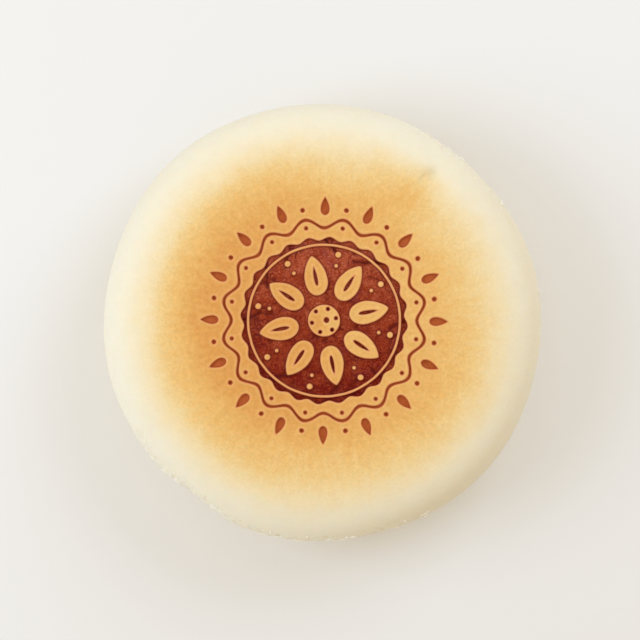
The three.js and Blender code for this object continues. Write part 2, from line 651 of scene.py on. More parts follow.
def circle(sheet: Sheet, radius: float, points: int) -> Wire:
    """A flat circle about the origin, of a radius in millimetres."""
    feeds = {"Resolution": points, "Radius": radius * MM}
    return sheet.out(sheet.node("GeometryNodeCurvePrimitiveCircle", feeds), "Curve")


def index(sheet: Sheet) -> Wire:
    """Number of each point, counted from 0."""
    return sheet.out(sheet.node("GeometryNodeInputIndex"), "Index")


def index_angle(sheet: Sheet, count: int) -> Wire:
    """Angle of each of a number of points spread over a full turn."""
    return index(sheet) * (2 * math.pi / count)


def placed(sheet: Sheet, geometry: Wire, places: Value) -> Wire:
    """Geometry with its points at new places."""
    made = sheet.node("GeometryNodeSetPosition", {"Geometry": geometry, "Position": places})
    return sheet.out(made, "Geometry")


def shifted(sheet: Sheet, geometry: Wire, offset: Value) -> Wire:
    """Geometry with its points moved on by an offset."""
    made = sheet.node("GeometryNodeSetPosition", {"Geometry": geometry, "Offset": offset})
    return sheet.out(made, "Geometry")


def realized(sheet: Sheet, geometry: Wire) -> Wire:
    """Geometry with its instances made real."""
    return sheet.out(sheet.node("GeometryNodeRealizeInstances", {"Geometry": geometry}), "Geometry")


def together(sheet: Sheet, parts: Sequence[Wire]) -> Wire:
    """Several geometries as one, in order.

    Args:
        sheet: tree that it is drawn in.
        parts: the geometries.

    Returns:
        The joined geometry.
    """
    made = sheet.node("GeometryNodeJoinGeometry")
    for part in reversed(parts):
        sheet.feed(made.inputs[0], part)
    return sheet.out(made, "Geometry")


def stored(sheet: Sheet, geometry: Wire, name: SkinField, value: Wire) -> Wire:
    """Geometry that carries a number at each point.

    Args:
        sheet: tree that it is drawn in.
        geometry: what carries it.
        name: which number.
        value: the number at each point.

    Returns:
        The geometry with the number on it.
    """
    feeds = {"Geometry": geometry, "Name": name.value, "Value": value}
    made = sheet.node("GeometryNodeStoreNamedAttribute", feeds, data_type="FLOAT", domain="POINT")
    return sheet.out(made, "Geometry")


def position(sheet: Sheet) -> Wire:
    """Place of each point, in metres."""
    return sheet.out(sheet.node("GeometryNodeInputPosition"), "Position")


class GeometrySheet(Sheet):
    """A Geometry Nodes tree with named inputs, and a mesh going in and out."""

    def __init__(self, name: str, sizes: Mapping[str, float]) -> None:
        """Starts the tree.

        Args:
            name: name of the tree.
            sizes: the named number inputs, with the value that each starts from.
        """
        super().__init__(bpy.data.node_groups.new(name, "GeometryNodeTree"))
        face = self.tree.interface
        face.new_socket("Geometry", in_out="INPUT", socket_type="NodeSocketGeometry")
        for size in sizes:
            face.new_socket(size, in_out="INPUT", socket_type="NodeSocketFloat")
        face.new_socket("Material", in_out="INPUT", socket_type="NodeSocketMaterial")
        face.new_socket("Geometry", in_out="OUTPUT", socket_type="NodeSocketGeometry")
        self.sizes = dict(sizes)
        self.entry = self.tree.nodes.new("NodeGroupInput")

    def size(self, name: str) -> Wire:
        """One of the tree's named inputs."""
        return self.out(self.entry, name)

    def close(self, geometry: Wire) -> None:
        """Ends the tree: instances are made real, and faces are smooth and of the finish.

        Args:
            geometry: what the tree made.
        """
        smooth = self.node("GeometryNodeSetShadeSmooth", {"Geometry": realized(self, geometry)})
        feeds = {"Geometry": self.out(smooth, "Geometry"), "Material": self.out(self.entry, "Material")}
        dressed = self.node("GeometryNodeSetMaterial", feeds)
        self.node("NodeGroupOutput", {"Geometry": self.out(dressed, "Geometry")})

    def grow(self, name: str, mesh: bpy.types.Mesh, material: bpy.types.Material) -> bpy.types.Object:
        """Runs the tree on a mesh.

        Args:
            name: name of the piece that it makes.
            mesh: what goes in.
            material: finish of the piece.

        Returns:
            A plain mesh object at the origin, with no modifier.
        """
        piece = bpy.data.objects.new(name, mesh)
        bpy.context.scene.collection.objects.link(piece)
        modifier = piece.modifiers.new(self.tree.name, "NODES")
        modifier.node_group = self.tree
        values = {**self.sizes, "Material": material}
        for socket in self.tree.interface.items_tree:
            if socket.in_out == "INPUT" and socket.name in values:
                modifier[socket.identifier] = values[socket.name]
        depsgraph = bpy.context.evaluated_depsgraph_get()
        grown = bpy.data.meshes.new_from_object(
            piece.evaluated_get(depsgraph), preserve_all_data_layers=True, depsgraph=depsgraph)
        piece.modifiers.clear()
        piece.data = grown
        grown.name = name
        return piece


def toward(sheet: Sheet, x: Wire, y: Wire, azimuth: float) -> Wire:
    """Cosine of the angle between a place of the plan and an azimuth."""
    aim = polar(1.0, azimuth)
    return (x * aim[0] + y * aim[1]) / sheet.math("SQRT", x * x + y * y)


@dataclass(frozen=True)
class Stretch:
    """A stretch of the outer edge: its middle, its half width in degrees, and how much of it is torn."""

    azimuth: float
    spread: float
    share: float
    core: float = 0.6  # share of the half width that is torn in full


@dataclass(frozen=True)
class TornEdge:
    """Stretches of the outer edge where the skin tore a little and left crumbs."""

    stretches: tuple[Stretch, ...] = (
        Stretch(252.0, 52.0, 1.0),
        Stretch(47.0, 20.0, 0.7),
        Stretch(8.0, 16.0, 0.3),
    )
    rise: tuple[float, float] = (28.0, 32.0)  # heights over which the tear sets in
    fall: tuple[float, float] = (47.0, 42.0)  # heights over which it ends, from above
    wander: Grain = Grain(13.0, 2.0, 12.0 * MM)
    bite_azimuth: float = 234.0
    bite_spread: float = 11.0
    bite_rise: tuple[float, float] = (20.0, 30.0)
    bite_fall: tuple[float, float] = (50.0, 39.0)

    def amount(self, sheet: Sheet, place: Wire) -> Wire:
        """How torn the skin is at a place, from 0 to 1.

        Args:
            sheet: tree that it is drawn in.
            place: where it is read.

        Returns:
            The amount.
        """
        x, y, z = sheet.split(place)
        near: Wire | float = 0.0
        for stretch in self.stretches:
            edge = math.cos(math.radians(stretch.spread))
            full = math.cos(math.radians(stretch.spread * stretch.core))
            one = sheet.fade(toward(sheet, x, y, stretch.azimuth), edge, full) * stretch.share
            near = sheet.math("MAXIMUM", one, near)
        level = z + sheet.grained(place, self.wander)
        return near * sheet.span(level, self.rise, self.fall)

    def bite(self, sheet: Sheet, place: Wire) -> Wire:
        """How near a place is to the small bite that the tear took out of the edge, from 0 to 1.

        Args:
            sheet: tree that it is drawn in.
            place: where it is read.

        Returns:
            The nearness.
        """
        x, y, z = sheet.split(place)
        edge = math.cos(math.radians(self.bite_spread))
        near = sheet.fade(toward(sheet, x, y, self.bite_azimuth), edge, 1.0)
        return near * sheet.span(z, self.bite_rise, self.bite_fall)


@dataclass(frozen=True)
class Nick:
    """A small dimple in the edge of the crown, and a short crease that runs in from it."""

    azimuth: float = 55.7
    dimple_azimuth: float = 54.2
    reach: float = 75.2
    width: float = 2.3
    crease_reach: float = 71.8
    crease_length: float = 2.8
    crease_width: float = 0.6
    wiggle_length: float = 1.6
    wiggle: float = 0.35

    def dimple(self, sheet: Sheet, x: Wire, y: Wire) -> Wire:
        """Depth of the dimple at a place of the plan, from 0 to 1."""
        return sheet.spot(x, y, polar(self.reach * MM, self.dimple_azimuth), self.width * MM)

    def crease(self, sheet: Sheet, x: Wire, y: Wire) -> Wire:
        """Depth of the crease at a place of the plan, from 0 to 1.

        Args:
            sheet: tree that it is drawn in.
            x: first number of the place.
            y: second number of the place.

        Returns:
            The depth.
        """
        aim = polar(1.0, self.azimuth)
        along = x * aim[0] + y * aim[1] - self.crease_reach * MM
        wiggle = sheet.math("SINE", along / (self.wiggle_length * MM)) * (self.wiggle * MM)
        across = y * aim[0] - x * aim[1] + wiggle
        return sheet.bell(along, self.crease_length * MM) * sheet.bell(across, self.crease_width * MM)


@dataclass(frozen=True)
class Relief:
    """Heights of what shows on the skin, in millimetres."""

    mark_depth: float = 1.1
    wall_width: float = 0.55
    lip_height: float = 0.22
    lip_width: float = 0.55
    wrinkle_height: float = 0.34
    crack_depth: float = 0.5
    crack_width: float = 0.75
    lump_height: float = 0.5
    peel_height: float = 0.09
    pleat_depth: float = 1.0
    crease_depth: float = 0.65
    tear_depth: float = 0.8
    bite_depth: float = 1.7
    wrinkle_depth: float = 0.16
    dimple_depth: float = 0.45
    nick_depth: float = 0.25
    inset: float = 0.05
    sink: float = 0.4


@dataclass(frozen=True)
class Cracks:
    """Short cracks that run in from the rim of the seal through the burnt skin."""

    copies: int = 8
    reach: float = 33.0
    length: float = 9.0
    shortest: float = 0.35  # share of the length
    longest: float = 1.3
    points: int = 18
    wander: float = 1.0
    wander_grain: float = 3.0
    lean: float = 1.1
    seed: int = 4

    def lines(self, sheet: Sheet, centre: tuple[float, float]) -> Wire:
        """The cracks as wire lines, each of its own length and lean.

        Args:
            sheet: tree that they are drawn in.
            centre: middle of the mark.

        Returns:
            Wire edges at height 0.
        """
        feeds = {"Start": (0.0, 0.0, 0.0), "End": (-self.length * MM, 0.0, 0.0)}
        straight = sheet.out(sheet.node("GeometryNodeCurvePrimitiveLine", feeds), "Curve")
        feeds = {"Curve": straight, "Count": self.points}
        line = sheet.out(sheet.node("GeometryNodeResampleCurve", feeds), "Curve")
        rim = circle(sheet, self.reach, self.copies)
        lean = sheet.node("FunctionNodeRandomValue",
                          {"Min_001": -self.lean, "Max_001": self.lean, "Seed": self.seed}, data_type="FLOAT")
        angle = index_angle(sheet, self.copies) + sheet.out(lean, "Value")
        turn = sheet.node("FunctionNodeEulerToRotation", {"Euler": sheet.joined(0.0, 0.0, angle)})
        size = sheet.node("FunctionNodeRandomValue",
                          {"Min_001": self.shortest, "Max_001": self.longest, "Seed": self.seed + 1},
                          data_type="FLOAT")
        feeds = {"Points": rim, "Instance": line, "Rotation": sheet.out(turn, "Rotation"),
                 "Scale": sheet.out(size, "Value")}
        copied = realized(sheet, sheet.out(sheet.node("GeometryNodeInstanceOnPoints", feeds), "Instances"))
        drift = wander(sheet, position(sheet), self.wander_grain * MM, self.wander * MM)
        wandering = shifted(sheet, copied, drift)
        at_mark = shifted(sheet, wandering, (centre[0] * MM, centre[1] * MM, 0.0))
        return sheet.out(sheet.node("GeometryNodeCurveToMesh", {"Curve": at_mark}), "Mesh")


def wander(sheet: Sheet, place: Wire, grain: float, reach: float) -> Wire:
    """A level offset that drifts from point to point.

    Args:
        sheet: tree that it is drawn in.
        place: where it is read.
        grain: distance over which it changes.
        reach: how far it goes.

    Returns:
        The offset as a vector.
    """
    apart = (37.0 * grain, 11.0 * grain, 5.0 * grain)
    along = sheet.noise(place, grain, 1.0)
    across = sheet.noise(sheet.moved(place, apart), grain, 1.0)
    return sheet.joined(along * (2 * reach), across * (2 * reach), 0.0)


@dataclass(frozen=True)
class CakeSkin:
    """The cake's skin, from the crown down over the side to the flat base."""

    form: CakeForm = CakeForm()
    mark: IronMark = IronMark()
    cracks: Cracks = Cracks()
    relief: Relief = Relief()
    torn: TornEdge = TornEdge()
    nick: Nick = Nick()
    lumps: Grain = Grain(17.0, 1.0)
    peel: Grain = Grain(2.8, 2.0, twist=0.3)
    side_rise: tuple[float, float] = (0.0, 3.0)  # heights over which the folded side begins
    side_fall: tuple[float, float] = (36.0, 20.0)  # and those over which it ends, from above
    pleats: Folds = Folds(12.0, 30.0)
    creases: Folds = Folds(7.0, 34.0)
    creased: Spots = Spots(Grain(21.0, 1.0), -0.06, 0.1)
    crease_width: float = 0.035  # in levels of the noise
    wrinkles: Folds = Folds(42.0, 24.0)
    wrinkled: Spots = Spots(Grain(19.0, 1.0), -0.1, 0.12)
    shoulder: Run = Run(0.8, 0.9)  # shares of the radius
    shoulder_rise: Run = Run(22.0, 34.0)
    crown_rise: Run = Run(30.0, 40.0)
    pits: Spots = Spots(Grain(2.6, 3.0, twist=0.4, roughness=0.6), 0.0, 0.2)
    rags: Grain = Grain(5.0, 2.0, 0.6)
    bite_rags: Grain = Grain(6.0, 2.0, 0.6)
    line_wander_grain: float = 5.0  # drift of the mark's outlines
    line_wander: float = 0.16
    mark_wall: float = 0.05  # gap at which the wall of the mark begins
    burnt_folds: Grain = Grain(3.4, 2.0, twist=1.2)
    burnt_field: Run = Run(-0.3, -1.2)  # gaps over which the folds and cracks set in

    def tree(self) -> GeometrySheet:
        """Geometry Nodes that turn the even form into the baked and marked cake.

        Returns:
            The closed tree.
        """
        relief = self.relief
        sheet = GeometrySheet("bake_and_press", {
            "Mark Depth": relief.mark_depth * MM,
            "Lip Height": relief.lip_height * MM,
            "Wrinkle Height": relief.wrinkle_height * MM,
            "Crack Depth": relief.crack_depth * MM,
            "Lump Height": relief.lump_height * MM,
            "Peel Height": relief.peel_height * MM,
            "Pleat Depth": relief.pleat_depth * MM,
            "Crease Depth": relief.crease_depth * MM,
            "Tear Depth": relief.tear_depth * MM,
            "Bite Depth": relief.bite_depth * MM,
            "Wrinkle Depth": relief.wrinkle_depth * MM,
            "Dimple Depth": relief.dimple_depth * MM,
            "Nick Depth": relief.nick_depth * MM,
            "Inset": relief.inset * MM,
            "Sink": relief.sink * MM,
        })
        baked = self.settled(sheet, sheet.size("Geometry"))
        sheet.close(self.pressed(sheet, baked))
        return sheet

    def waves(self, sheet: Sheet, waves: Sequence[Wave], angle: Wire) -> Wire:
        """Sum of cosine waves at an angle, in metres."""
        terms = [sheet.math("COSINE", angle * w.lobes + w.turn) * (w.size * MM) for w in waves]
        return sum(terms[1:], terms[0])

    def settled(self, sheet: GeometrySheet, even: Wire) -> Wire:
        """The uneven bake, centred on the middle of its own plan box.

        Args:
            sheet: tree that it is drawn in.
            even: the even form.

        Returns:
            The baked form before the iron.
        """
        form = self.form
        place = position(sheet)
        x, y, z = sheet.split(place)
        angle = sheet.math("ARCTAN2", y, x)
        reach = sheet.math("SQRT", x * x + y * y)
        share = reach / (form.radius * MM)
        swell = self.waves(sheet, form.outline_waves, angle) * share / (form.radius * MM) + 1.0
        hollow = polar(form.dent.reach_share * form.radius * MM, form.dent.azimuth)
        dent = sheet.spot(x, y, hollow, form.dent.width * MM) * (form.dent.depth * MM)
        press = sheet.math("EXPONENT", -((reach / (form.press_radius * MM)) ** 6)) * (form.press_depth * MM)
        rise = self.waves(sheet, form.top_waves, angle) * (share**2) - dent - press
        lump = sheet.grained(place, self.lumps) * sheet.size("Lump Height")
        lump = lump + sheet.grained(place, self.peel) * sheet.size("Peel Height")
        nick = self.nick.dimple(sheet, x, y) * sheet.size("Dimple Depth")
        nick = nick + self.nick.crease(sheet, x, y) * sheet.size("Nick Depth")
        up = z + (rise + lump - nick - sheet.size("Sink")) * ((z / (form.height * MM)) ** 2)
        draw = self.drawn_in(sheet, place, z, angle, share) + sheet.size("Inset")
        inward = swell - draw / (form.radius * MM) * share
        uneven = placed(sheet, even, sheet.joined(x * inward, y * inward, up))
        box = sheet.node("GeometryNodeBoundBox", {"Geometry": uneven})
        low = sheet.split(sheet.out(box, "Min"))
        high = sheet.split(sheet.out(box, "Max"))
        centring = sheet.joined((low[0] + high[0]) * -0.5, (low[1] + high[1]) * -0.5, 0.0)
        return shifted(sheet, uneven, centring)

    def drawn_in(self, sheet: GeometrySheet, place: Wire, z: Wire, angle: Wire, share: Wire) -> Wire:
        """How far the side and the shoulder draw in: pleats, creases, fine wrinkles and the torn edge.

        Args:
            sheet: tree that it is drawn in.
            place: where it is read.
            z: its height.
            angle: azimuth there.
            share: plan radius there over the cake's.

        Returns:
            The depth, in metres.
        """
        wall = sheet.span(z, self.side_rise, self.side_fall)
        pleats = sheet.noise(self.upright(sheet, angle, z, self.pleats), 1.0, 2.0) + 0.5
        lines = sheet.noise(self.upright(sheet, angle, z, self.creases), 1.0, 1.0, 0.4)
        thin = sheet.bell(lines, self.crease_width)
        some = sheet.spots(place, self.creased)
        side = (pleats * sheet.size("Pleat Depth") + thin * some * sheet.size("Crease Depth")) * wall
        wrinkles = sheet.noise(self.upright(sheet, angle, z, self.wrinkles), 1.0, 1.0) + 0.5
        shoulder = sheet.run(share, self.shoulder) * sheet.run(z, self.shoulder_rise, MM)
        fine = wrinkles * shoulder * sheet.spots(place, self.wrinkled) * sheet.size("Wrinkle Depth")
        ragged = sheet.grained(place, self.rags) + sheet.spots(place, self.pits)
        torn = sheet.fade(ragged * self.torn.amount(sheet, place), 0.0, 1.0, kind=Fade.EVEN)
        bite = self.torn.bite(sheet, place) * (sheet.grained(place, self.bite_rags) + 1.0)
        return side + fine + torn * sheet.size("Tear Depth") + bite * sheet.size("Bite Depth")

    def upright(self, sheet: Sheet, angle: Wire, z: Wire, folds: Folds) -> Wire:
        """Where upright folds are read.

        Args:
            sheet: tree that it is drawn in.
            angle: azimuth of the place.
            z: its height.
            folds: their size.

        Returns:
            The place as the folds see it.
        """
        along = sheet.math("COSINE", angle) * folds.around
        across = sheet.math("SINE", angle) * folds.around
        return sheet.joined(along, across, z / (folds.height * MM))

    def pressed(self, sheet: GeometrySheet, baked: Wire) -> Wire:
        """The cake with the mark pressed into its crown.

        Args:
            sheet: tree that it is drawn in.
            baked: the form before the iron.

        Returns:
            The marked form, which carries the gaps of SkinField.
        """
        outline = self.mark.outline(sheet)
        wire = sheet.out(sheet.node("GeometryNodeCurveToMesh", {"Curve": outline}), "Mesh")
        plate = sheet.out(sheet.node("GeometryNodeFillCurve", {"Curve": outline}, mode="TRIANGLES"), "Mesh")
        place = position(sheet)
        x, y, z = sheet.split(place)
        drift = wander(sheet, place, self.line_wander_grain * MM, self.line_wander * MM)
        flat = sheet.moved(sheet.joined(x, y, 0.0), drift)
        near = beside(sheet, wire, flat)
        above = sheet.moved(flat, (0.0, 0.0, MM))
        feeds = {"Target Geometry": plate, "Source Position": above, "Ray Direction": (0.0, 0.0, -1.0),
                 "Ray Length": 2 * MM}
        inside = sheet.out(sheet.node("GeometryNodeRaycast", feeds), "Is Hit")
        top = sheet.run(z, self.crown_rise, MM)
        gap = near * (1.0 - inside * 2.0) / MM
        under = (1.0 - top) * FAR_GAP
        kept = stored(sheet, baked, SkinField.MARK_GAP, gap + under)
        split = beside(sheet, self.cracks.lines(sheet, self.mark.centre), flat)
        kept = stored(sheet, kept, SkinField.CRACK_GAP, split / MM + under)
        return shifted(sheet, kept, sheet.joined(0.0, 0.0, self.mark_rise(sheet, place)))

    def mark_rise(self, sheet: GeometrySheet, place: Wire) -> Wire:
        """How far the mark lifts the skin, from the gaps that it carries. Below 0 is pressed in.

        Args:
            sheet: tree that it is drawn in.
            place: where it is read.

        Returns:
            The rise, in metres.
        """
        relief = self.relief
        gap = carried(sheet, SkinField.MARK_GAP)
        crack = carried(sheet, SkinField.CRACK_GAP)
        burnt = sheet.fade(gap, self.mark_wall, -relief.wall_width)
        lip = sheet.bell(gap - relief.lip_width, relief.lip_width) * (1.0 - burnt)
        fold = sheet.grained(place, self.burnt_folds) * sheet.size("Wrinkle Height")
        inside = sheet.run(gap, self.burnt_field)
        split = (sheet.bell(crack, relief.crack_width) + creases(sheet, place)) * sheet.size("Crack Depth")
        pressed = burnt * sheet.size("Mark Depth")
        return lip * sheet.size("Lip Height") - pressed + (fold - split) * inside

    def build(self, finish: bpy.types.Material) -> bpy.types.Object:
        """Makes the skin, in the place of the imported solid.

        Args:
            finish: material of the skin.

        Returns:
            The piece, riding on its body.
        """
        piece = self.tree().grow("cake_skin", self.form.mesh("cake_skin"), finish)
        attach(piece, BODY)
        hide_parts(CAKE_NODE)
        return piece


CREASE_LINES = Grain(6.5, 2.0, twist=0.8)
CREASE_WIDTH = 0.035  # in levels of the noise
CREASE_PATCHES = Spots(Grain(11.0, 1.0), -0.03, 0.1)


def creases(sheet: Sheet, place: Wire) -> Wire:
    """Fine meandering creases of the burnt skin, in patches.

    Args:
        sheet: tree that they are read in, for the relief or for the colour.
        place: where they are read. Its height plays no part.

    Returns:
        1 along the middle of a crease, falling to 0 beside it.
    """
    x, y, _ = sheet.split(place)
    plan = sheet.joined(x, y, 0.0)
    line = sheet.bell(sheet.grained(plan, CREASE_LINES), CREASE_WIDTH)
    return line * sheet.spots(plan, CREASE_PATCHES)


def beside(sheet: Sheet, wire: Wire, place: Wire) -> Wire:
    """Distance from a place to the nearest edge of a wire.

    Args:
        sheet: tree that it is drawn in.
        wire: mesh of edges.
        place: where it is read.

    Returns:
        The distance, in metres.
    """
    made = sheet.node("GeometryNodeProximity", {"Geometry": wire, "Sample Position": place},
                      target_element="EDGES")
    return sheet.out(made, "Distance")


def carried(sheet: Sheet, name: SkinField) -> Wire:
    """A number that the mesh carries, read in Geometry Nodes."""
    made = sheet.node("GeometryNodeInputNamedAttribute", {"Name": name.value}, data_type="FLOAT")
    return sheet.out(made, "Attribute")


@dataclass(frozen=True)
class Crumbs:
    """Small crumbs, and longer flakes of skin, caught on the torn stretches of the edge."""

    density: float = 210000.0
    least: float = 0.2
    most: float = 0.9
    flake_density: float = 110000.0
    flake_length: float = 4.6
    flake_rise: Run = Run(34.5, 36.5)
    flake_least: tuple[float, float, float] = (0.1, 0.06, 0.05)
    flake_most: tuple[float, float, float] = (0.55, 0.12, 0.1)
    flake_tilt: tuple[float, float, float] = (0.3, 0.25, 0.3)
    crumb_least: tuple[float, float, float] = (0.7, 0.5, 0.35)
    crumb_most: tuple[float, float, float] = (1.3, 0.9, 0.6)
    full_turn: float = 6.28
    clumps: Spots = Spots(Grain(6.0, 2.0), 0.0, 0.2)
    rough: Grain = Grain(0.5, 2.0, 0.6 * MM)
    seed: int = 11
    torn: TornEdge = TornEdge()

    def tree(self) -> GeometrySheet:
        """Geometry Nodes that strew crumbs on the skin that goes in, and leave only the crumbs.

        Returns:
            The closed tree.
        """
        sheet = GeometrySheet("strew_crumbs", {
            "Density": self.density,
            "Least Radius": self.least * MM,
            "Most Radius": self.most * MM,
            "Flake Density": self.flake_density,
            "Flake Length": self.flake_length * MM,
        })
        laid = together(sheet, [self.crumbs(sheet), self.flakes(sheet)])
        normal = sheet.out(sheet.node("GeometryNodeInputNormal"), "Normal")
        rough = sheet.scaled(normal, sheet.grained(position(sheet), self.rough))
        sheet.close(self.held(sheet, shifted(sheet, laid, rough)))
        return sheet

    def crumbs(self, sheet: GeometrySheet) -> Wire:
        """Round crumbs, lying every way, most of them small.

        Args:
            sheet: tree that it is drawn in.

        Returns:
            The crumbs.
        """
        share = self.drawn(sheet, (0.0, 0.0, 0.0), (1.0, 1.0, 1.0), 1)
        size = (sheet.split(share)[0] ** 3) * (sheet.size("Most Radius") - sheet.size("Least Radius"))
        shape = self.drawn(sheet, self.crumb_least, self.crumb_most, 2)
        euler = self.drawn(sheet, (0.0, 0.0, 0.0), (self.full_turn,) * 3, 3)
        points = self.strewn(sheet, sheet.size("Density"), 0)
        return self.set_on(sheet, points, euler, sheet.scaled(shape, size + sheet.size("Least Radius")))

    def flakes(self, sheet: GeometrySheet) -> Wire:
        """Thin flakes of skin that lie along the edge.

        Args:
            sheet: tree that it is drawn in.

        Returns:
            The flakes.
        """
        x, y, z = sheet.split(position(sheet))
        other_way = tuple(-lean for lean in self.flake_tilt)
        tilt = sheet.split(self.drawn(sheet, other_way, self.flake_tilt, 11))
        along = sheet.math("ARCTAN2", y, x) + math.pi / 2
        euler = sheet.joined(tilt[0], tilt[1], along + tilt[2])
        shape = self.drawn(sheet, self.flake_least, self.flake_most, 12)
        high = sheet.run(z, self.flake_rise, MM)
        points = self.strewn(sheet, sheet.size("Flake Density") * high, 10)
        return self.set_on(sheet, points, euler, sheet.scaled(shape, sheet.size("Flake Length")))

    def strewn(self, sheet: GeometrySheet, density: Wire, turn: int) -> Wire:
        """Points on the torn skin, in clumps, from a seed of their own.

        Args:
            sheet: tree that it is drawn in.
            density: points to a square metre where it is torn in full.
            turn: what is added to the seed.

        Returns:
            The points.
        """
        place = position(sheet)
        share = self.torn.amount(sheet, place) * sheet.spots(place, self.clumps)
        feeds = {"Mesh": sheet.size("Geometry"), "Density": share * density, "Seed": self.seed + turn}
        return sheet.out(sheet.node("GeometryNodeDistributePointsOnFaces", feeds), "Points")

    def set_on(self, sheet: GeometrySheet, points: Wire, euler: Wire, scale: Wire) -> Wire:
        """A small ball on every point, turned and drawn out.

        Args:
            sheet: tree that it is drawn in.
            points: where the balls go.
            euler: how each is turned.
            scale: how far each is drawn out.

        Returns:
            The balls.
        """
        ball = sheet.node("GeometryNodeMeshIcoSphere", {"Radius": 1.0, "Subdivisions": 2})
        turned = sheet.node("FunctionNodeEulerToRotation", {"Euler": euler})
        feeds = {"Points": points, "Instance": sheet.out(ball, "Mesh"),
                 "Rotation": sheet.out(turned, "Rotation"), "Scale": scale}
        return realized(sheet, sheet.out(sheet.node("GeometryNodeInstanceOnPoints", feeds), "Instances"))

    def held(self, sheet: GeometrySheet, crumbs: Wire) -> Wire:
        """Crumbs pressed flat where they would stick out beyond the skin's own box.

        Args:
            sheet: tree that it is drawn in.
            crumbs: the crumbs and flakes.

        Returns:
            The crumbs, all inside the box.
        """
        box = sheet.node("GeometryNodeBoundBox", {"Geometry": sheet.size("Geometry")})
        kept = position(sheet)
        for operation, corner in (("MAXIMUM", "Min"), ("MINIMUM", "Max")):
            feeds = {"Vector": kept, "Vector_001": sheet.out(box, corner)}
            kept = sheet.out(sheet.node("ShaderNodeVectorMath", feeds, operation=operation), "Vector")
        return placed(sheet, crumbs, kept)

    def drawn(self, sheet: Sheet, least: tuple, most: tuple, turn: int) -> Wire:
        """Random numbers for each crumb between two corners, from a seed of their own."""
        feeds = {"Min": least, "Max": most, "Seed": self.seed + turn}
        return sheet.out(sheet.node("FunctionNodeRandomValue", feeds, data_type="FLOAT_VECTOR"), "Value")

    def build(self, skin: bpy.types.Object, finish: bpy.types.Material) -> bpy.types.Object:
        """Strews the crumbs on the skin.

        Args:
            skin: the finished skin.
            finish: material of the crumbs.

        Returns:
            The piece, riding on its body.
        """
        piece = self.tree().grow("rim_crumbs", skin.data.copy(), finish)
        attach(piece, BODY)
        return piece


@dataclass(frozen=True)
class Stop:
    """One stop of a colour ramp."""

    share: float
    colour: tuple[int, int, int]


@dataclass(frozen=True)
class Level:
    """One point of a curve: the value read there is a level."""

    share: float
    level: float


class MaterialSheet(Sheet):
    """The node tree of one material, with its shader."""

    def __init__(self, name: str) -> None:
        """Starts the material with a bare shader on its output.

        Args:
            name: name of the material.
        """
        self.material = bpy.data.materials.new(name)
        self.material.use_nodes = True
        super().__init__(self.material.node_tree)
        self.tree.nodes.clear()
        self.shader = self.node("ShaderNodeBsdfPrincipled")
        self.node("ShaderNodeOutputMaterial", {"Surface": self.out(self.shader, "BSDF")})

    def place(self) -> Wire:
        """Object coordinates, in metres."""
        return self.out(self.node("ShaderNodeTexCoord"), "Object")

    def carried(self, name: SkinField) -> Wire:
        """A number that the mesh carries, read in the material."""
        return self.out(self.node("ShaderNodeAttribute", attribute_name=name.value), "Fac")

    def steps(self, value: Wire, stops: Sequence[tuple[float, tuple]], smooth: bool) -> Wire:
        """Colour of a value between stops, each a share and a linear colour.

        Args:
            value: what is followed, from 0 to 1.
            stops: shares and colours in order.
            smooth: whether the ramp runs in soft curves.

        Returns:
            The colour.
        """
        made = self.node("ShaderNodeValToRGB", {"Fac": value})
        ramp = made.color_ramp
        ramp.interpolation = "B_SPLINE" if smooth else "LINEAR"
        while len(ramp.elements) < len(stops):
            ramp.elements.new(1.0)
        for element, (share, colour) in zip(ramp.elements, stops):
            element.position = share
            element.color = colour
        return self.out(made, "Color")

    def ramp(self, value: Wire, stops: Sequence[Stop]) -> Wire:
        """Colour of a value on a ramp of stops."""
        return self.steps(value, [(s.share, seen(s.colour)) for s in stops], False)

    def curve(self, value: Wire, levels: Sequence[Level]) -> Wire:
        """Level of a value on a smooth curve. Adding 0 turns the ramp's grey into a number."""
        return self.steps(value, [(p.share, (p.level, p.level, p.level, 1.0)) for p in levels], True) + 0.0

    def mixed(self, share: Wire | float, under: Wire | tuple, over: Wire | tuple, blend: str = "MIX") -> Wire:
        """One colour laid over another by a share."""
        feeds = {"Factor_Float": share, "A_Color": under, "B_Color": over}
        return self.out(self.node("ShaderNodeMix", feeds, data_type="RGBA", blend_type=blend), "Result_Color")

    def bumped(self, height: Wire, bump: Bump, normal: Wire | None = None) -> Wire:
        """Normal of a surface with small heights on it.

        Args:
            height: the heights.
            bump: how high they stand.
            normal: normal that it is laid on, if not the surface's own.

        Returns:
            The normal.
        """
        feeds: dict[str, Value] = {"Height": height, "Distance": bump.height * MM, "Strength": bump.strength}
        if normal is not None:
            feeds["Normal"] = normal
        return self.out(self.node("ShaderNodeBump", feeds), "Normal")


@dataclass(frozen=True)
class Patch:
    """A patch of the crown that browned more than the rest, or less where its level is negative.

    Its middle is an azimuth and a share of the radius. It spreads so many degrees round and such a share out.
    """

    azimuth: float
    spread: float
    reach: float
    width: float
    level: float


